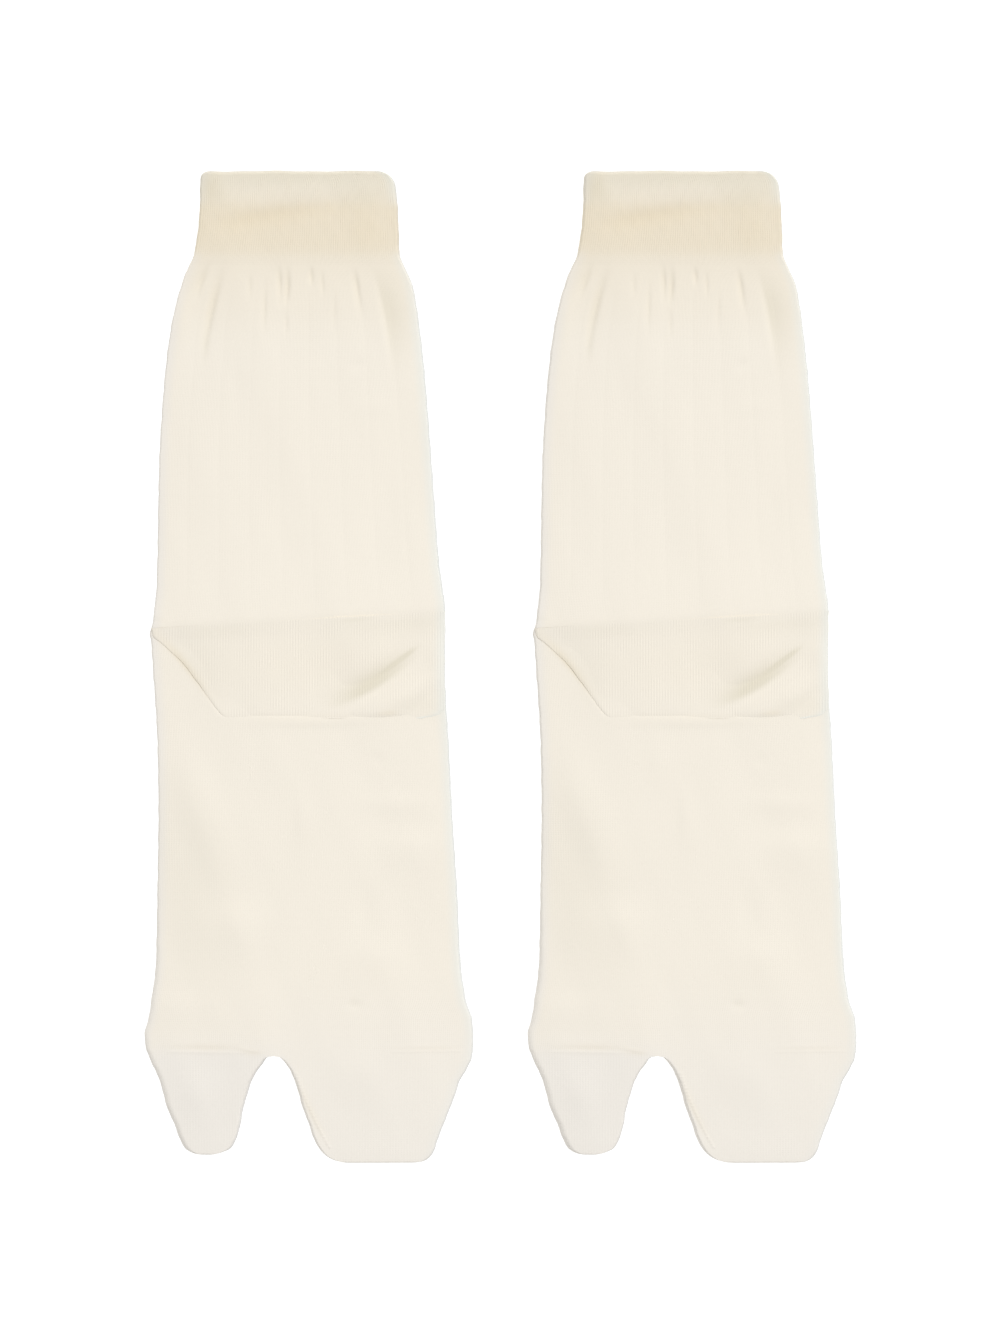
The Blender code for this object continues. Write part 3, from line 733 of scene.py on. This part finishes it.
def knit(name, stitch_shade, stitch_height):
    """Matt knit in a spun cream yarn: columns of stitches, each of two slanting legs, that stand
    `stitch_height` high, with painted shade, `stitch_shade` deep, in the gaps. The elastic yarn is warmer
    and the toe yarn a little greyer; painted shade makes the sides greyer, and creases, deep folds and the
    rim deeper in tone."""
    material = bpy.data.materials.new(name)
    material.use_nodes = True
    tree = material.node_tree
    surface = tree.nodes["Principled BSDF"]
    uv = add(tree, "ShaderNodeUVMap", {}, uv_map="knit").outputs["UV"]
    axes = add(tree, "ShaderNodeSeparateXYZ", {"Vector": uv}).outputs

    # 0 in the gap between stitch columns and 0.5 in the middle of one, so a leg is a half wave of it.
    off = add(tree, "ShaderNodeMath", {0: axes["X"], 1: 0.5}, operation="PINGPONG").outputs[0]
    half_wave = add(tree, "ShaderNodeMath", {0: off, 1: 2 * np.pi}, operation="MULTIPLY").outputs[0]
    leg = add(tree, "ShaderNodeMath", {0: half_wave}, operation="SINE").outputs[0]
    # The legs slant by half a row across, and each row is one beat of them.
    slant = add(tree, "ShaderNodeMath", {0: axes["Y"], 1: off}, operation="ADD").outputs[0]
    wave = add(tree, "ShaderNodeMath", {0: slant, 1: 2 * np.pi}, operation="MULTIPLY").outputs[0]
    beat = add(tree, "ShaderNodeMath", {0: wave}, operation="COSINE").outputs[0]
    beat = add(tree, "ShaderNodeMath", {0: beat, 1: 0.25, 2: 0.75}, operation="MULTIPLY_ADD").outputs[0]
    height = add(tree, "ShaderNodeMath", {0: leg, 1: beat}, operation="MULTIPLY").outputs[0]

    # Yarn isn't even: slow clouds of tone, and slubs as long as a stitch.
    place = add(tree, "ShaderNodeTexCoord", {}).outputs["Object"]
    cloud = add(
        tree, "ShaderNodeTexNoise", {"Vector": place, "Scale": CLOUD_SCALE, "Detail": 2.0}
    ).outputs["Fac"]
    slub = add(
        tree, "ShaderNodeTexNoise", {"Vector": place, "Scale": SLUB_SCALE, "Detail": 2.0}
    ).outputs["Fac"]
    # Painted shade in the gaps between stitch columns, about the mean tone.
    gap = add(tree, "ShaderNodeMath", {0: leg, 1: MEAN_LEG}, operation="SUBTRACT").outputs[0]
    # The knit is opened in patches, since it was pressed unevenly, and the painted shade in its gaps is
    # deeper there.
    patch = add(
        tree, "ShaderNodeTexNoise", {"Vector": place, "Scale": OPEN_SCALE, "Detail": 1.0}
    ).outputs["Fac"]
    patch = add(
        tree, "ShaderNodeMapRange",
        {"Value": patch, "From Min": OPEN_FROM, "From Max": OPEN_TO, "To Min": 0.0, "To Max": 2.0},
    ).outputs[0]
    openness = add(tree, "ShaderNodeAttribute", {}, attribute_name="open").outputs["Fac"]
    depth = add(tree, "ShaderNodeMath", {0: openness, 1: stitch_shade}, operation="MULTIPLY").outputs[0]
    depth = add(tree, "ShaderNodeMath", {0: depth, 1: patch}, operation="MULTIPLY").outputs[0]
    light = add(
        tree, "ShaderNodeMath", {0: gap, 1: depth, 2: MEAN_TONE}, operation="MULTIPLY_ADD"
    ).outputs[0]
    light = add(tree, "ShaderNodeMath", {0: cloud, 1: CLOUD, 2: light}, operation="MULTIPLY_ADD").outputs[0]
    light = add(tree, "ShaderNodeMath", {0: slub, 1: SLUB, 2: light}, operation="MULTIPLY_ADD").outputs[0]
    light = add(
        tree, "ShaderNodeMath", {0: light, 1: (CLOUD + SLUB) / 2}, operation="SUBTRACT"
    ).outputs[0]

    # The yarn's own colours, then painted shade: greyer sides, warm shade in creases, neutral shadow in deep
    # folds and a greyer rim.
    tone = linear(COTTON)
    for field, colour, blend in (
        ("elastic", ELASTIC, "MIX"),
        ("right_edge_shade", RIGHT_EDGE_SHADE_TONE, "MIX"),
        ("toe_yarn_and_left_shade", TOE_YARN_AND_LEFT_SHADE, "MIX"),
        ("crease", CREASE_SHADE_TONE, "MULTIPLY"),
        ("shadow", SHADOW, "MULTIPLY"),
        ("rim", RIM_SHADE_TONE, "MULTIPLY"),
    ):
        share = add(tree, "ShaderNodeAttribute", {}, attribute_name=field).outputs["Fac"]
        inputs = {0: share, 6: tone, 7: linear(colour)}
        tone = add(tree, "ShaderNodeMix", inputs, data_type="RGBA", blend_type=blend).outputs[2]
    tone = add(tree, "ShaderNodeVectorMath", {0: tone, "Scale": light}, operation="SCALE").outputs[0]
    tree.links.new(tone, surface.inputs["Base Color"])

    fibre = add(tree, "ShaderNodeMath", {0: slub, 1: 0.5, 2: height}, operation="MULTIPLY_ADD").outputs[0]
    bump = add(tree, "ShaderNodeBump", {"Height": fibre, "Distance": stitch_height * MM})
    tree.links.new(bump.outputs[0], surface.inputs["Normal"])
    surface.inputs["Roughness"].default_value = 0.92
    surface.inputs["Specular IOR Level"].default_value = 0.2
    return material


# Each section's rows, where it starts and ends, how its loops are set out and its form.
flap_tip, big_toe_tip, toes_tip = HEEL_ROWS[-1][0], BIG_TOE_ROWS[-1][0], TOES_ROWS[-1][0]
SECTIONS = {
    "cuff": (
        TUBE_ROWS,
        places_between(0.0, CUFF_END, 0.7, (0.0, 2.0, 0.3)),
        dict(
            thickness=WELT, hollow=WELT_HOLLOW, relief=cuff_relief, spans=(5 * WALES, 60, 6), open_knit=3.6,
        ),
    ),
    "leg": (
        TUBE_ROWS,
        places_between(CUFF_END, HEEL_LINE, 1.0, (CUFF_END, 30.0, 0.7), (HEEL_LINE, 8.0, 0.5)),
        dict(relief=leg_relief, spans=(264, 50, 6), open_knit=0.7),
    ),
    "heel": (
        HEEL_ROWS,
        places_between(HEEL_LINE, flap_tip, 0.5, (flap_tip, 3.0, 0.4)),
        dict(
            relief=heel_relief, spans=(170, 170, 6), edges=HEEL_EDGES, tip=flap_tip,
            tip_edge=FLAP_EDGE, low=FLAP_LOW, thickness=FLAP_CLOTH, hollow=FLAP_HOLLOW, wale=PLAIN_WALE,
            open_knit=8.0,
        ),
    ),
    "foot": (
        FOOT_ROWS,
        places_between(HEEL_LINE, TOE_LINE, 1.0, (TOE_LINE, 3.0, 0.2), (HEEL_LINE, 40.0, 0.5)),
        dict(relief=foot_relief, spans=(200, 50, 6), open_knit=0.5),
    ),
    "big_toe": (
        BIG_TOE_ROWS,
        places_between(TOE_LINE, big_toe_tip, 0.4, (TOE_LINE, 3.0, 0.5), (big_toe_tip, 1.0, 0.25)),
        dict(
            relief=toe_relief, spans=(90, 90, 6), edges=BIG_TOE_EDGES, tip=big_toe_tip,
            wale=PLAIN_WALE, open_knit=2.6,
        ),
    ),
    "toes": (
        TOES_ROWS,
        places_between(TOE_LINE, toes_tip, 0.4, (TOE_LINE, 3.0, 0.5), (toes_tip, 1.0, 0.25)),
        dict(
            relief=toe_relief, spans=(130, 130, 6), edges=TOES_EDGES, tip=toes_tip, wale=PLAIN_WALE,
        ),
    ),
}

knits = {
    "cuff_rib": knit("elastic rib knit", stitch_shade=0.02, stitch_height=0.05),
    "leg_rib": knit("broad rib cotton knit", stitch_shade=0.015, stitch_height=0.03),
    "plain_knit": knit("plain cotton knit", stitch_shade=0.02, stitch_height=0.04),
}

floor_mesh = bpy.data.meshes.new("floor")
corners = [(FLOOR_REACH * x, FLOOR_REACH * y, 0) for x, y in ((-1, -1), (1, -1), (1, 1), (-1, 1))]
floor_mesh.from_pydata(corners, [], [(0, 1, 2, 3)])
floor_mesh.transform(Matrix.Translation((0, 0, -FLOOR_GAP * MM)))
floor = bpy.data.objects.new("floor", floor_mesh)
bpy.context.scene.collection.objects.link(floor)
# A lit table: so bright that the socks' shadows on it don't show.
table = bpy.data.materials.new("lit white table")
table.use_nodes = True
table_surface = table.node_tree.nodes["Principled BSDF"]
table_surface.inputs["Base Color"].default_value = linear("#7c7c7c")
table_surface.inputs["Roughness"].default_value = 0.9
table_surface.inputs["Emission Color"].default_value = linear("#ffffff")
table_surface.inputs["Emission Strength"].default_value = 1.0
floor_mesh.materials.append(table)

slot_of = {sub["node"]: sub["material_slot"] for sub in frame["record"]["subparts"]}
for sock in ("sock_a", "sock_b"):
    low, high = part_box(f"{sock}_foot")
    middle = (low[0] + high[0]) / 2
    for section, (rows, places, form) in SECTIONS.items():
        node = f"{sock}_{section}"
        mesh = knit_wall(node, rows, places, **form)
        mesh.transform(Matrix.Translation((middle, 0, 0)))
        mesh.materials.append(knits[slot_of[node]])
        piece = bpy.data.objects.new(f"{node}_knit", mesh)
        bpy.context.scene.collection.objects.link(piece)
        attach(piece, "root")
        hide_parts(node)

# ---------------------------------------------------------------------------------------------------
# Light and camera
# ---------------------------------------------------------------------------------------------------
scene = bpy.context.scene
scene.view_settings.view_transform = "Standard"
room = bpy.data.worlds.new("room")
room.use_nodes = True
room.node_tree.nodes["Background"].inputs["Color"].default_value = linear("#ffffff")
room.node_tree.nodes["Background"].inputs["Strength"].default_value = 0.57
scene.world = room

key = bpy.data.lights.new("key softbox", "SUN")
key.energy = 1.78
key.angle = np.radians(40)
key_object = bpy.data.objects.new("key softbox", key)
key_object.rotation_euler = TOWARDS_KEY.to_track_quat("Z", "Y").to_euler()
scene.collection.objects.link(key_object)

camera = bpy.data.cameras.new("camera")
camera.lens = 100
camera.sensor_width = 36
camera.clip_start = 0.01
camera_object = bpy.data.objects.new("camera", camera)
camera_object.location = (0, 0, CAMERA_HEIGHT)
scene.collection.objects.link(camera_object)
scene.camera = camera_object
